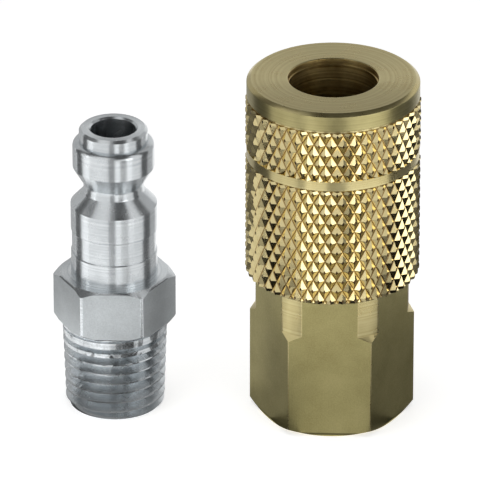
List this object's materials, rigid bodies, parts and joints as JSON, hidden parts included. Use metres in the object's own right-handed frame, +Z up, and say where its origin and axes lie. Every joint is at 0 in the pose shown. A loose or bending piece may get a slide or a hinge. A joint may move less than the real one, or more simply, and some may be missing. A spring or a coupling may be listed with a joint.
{
  "type": "quick coupling set",
  "caption": "Quick coupling pair for air or coolant lines: a steel plug with a male pipe thread, and a brass ball-lock socket with a knurled sliding sleeve and an inner check valve.",
  "frame": {"origin": "middle of the pair's outline, on the surface that both pieces stand on", "axes": "+Z up along both turning axes, +X from the plug to the socket, -Y towards the viewer of the picture"},
  "size_m": [0.0488, 0.0232, 0.0483],
  "materials": {
    "plated_steel": "zinc-plated turned steel, bright on the turned bands and satin on the hexagon",
    "hex_brass": "drawn brass bar, satin flats",
    "turned_brass": "turned brass",
    "knurled_brass": "turned brass with a diamond knurl",
    "spring_steel": "drawn spring wire",
    "ball_steel": "polished hardened steel",
    "seal_rubber": "moulded nitrile rubber"
  },
  "bodies": {
    "housing": {"plug": "plated_steel", "adapter": "hex_brass", "body_gasket": "seal_rubber", "socket_body": "turned_brass", "nose_seal": "seal_rubber", "retaining_ring": "spring_steel", "sleeve_spring": "spring_steel", "valve_spring": "spring_steel"},
    "sleeve": {"sleeve": "knurled_brass"},
    "valve": {"valve_poppet": "turned_brass", "valve_washer": "seal_rubber"},
    "ball_1": {"locking_ball_1": "ball_steel"},
    "ball_2": {"locking_ball_2": "ball_steel"},
    "ball_3": {"locking_ball_3": "ball_steel"},
    "ball_4": {"locking_ball_4": "ball_steel"}
  },
  "joints": [
    {"name": "sleeve_slide", "type": "slide", "parent": "housing", "child": "sleeve", "axis": [0, 0, -1], "range_m": [0, 0.0032], "stiffness_N_per_m": 2000, "springref_m": -0.004, "deforming": ["sleeve_spring"]},
    {"name": "valve_slide", "type": "slide", "parent": "housing", "child": "valve", "axis": [0, 0, -1], "range_m": [0, 0.0025], "stiffness_N_per_m": 300, "springref_m": -0.003, "deforming": ["valve_spring"]},
    {"name": "ball_1_slide", "type": "slide", "parent": "housing", "child": "ball_1", "axis": [1, 0, 0], "range_m": [0, 0.0006]},
    {"name": "ball_2_slide", "type": "slide", "parent": "housing", "child": "ball_2", "axis": [0, 1, 0], "range_m": [0, 0.0006]},
    {"name": "ball_3_slide", "type": "slide", "parent": "housing", "child": "ball_3", "axis": [-1, 0, 0], "range_m": [0, 0.0006]},
    {"name": "ball_4_slide", "type": "slide", "parent": "housing", "child": "ball_4", "axis": [0, -1, 0], "range_m": [0, 0.0006]}
  ],
  "couplings": [
    {"joint": "ball_1_slide", "follows": "sleeve_slide", "ratio": 0.187},
    {"joint": "ball_2_slide", "follows": "sleeve_slide", "ratio": 0.187},
    {"joint": "ball_3_slide", "follows": "sleeve_slide", "ratio": 0.187},
    {"joint": "ball_4_slide", "follows": "sleeve_slide", "ratio": 0.187}
  ]
}
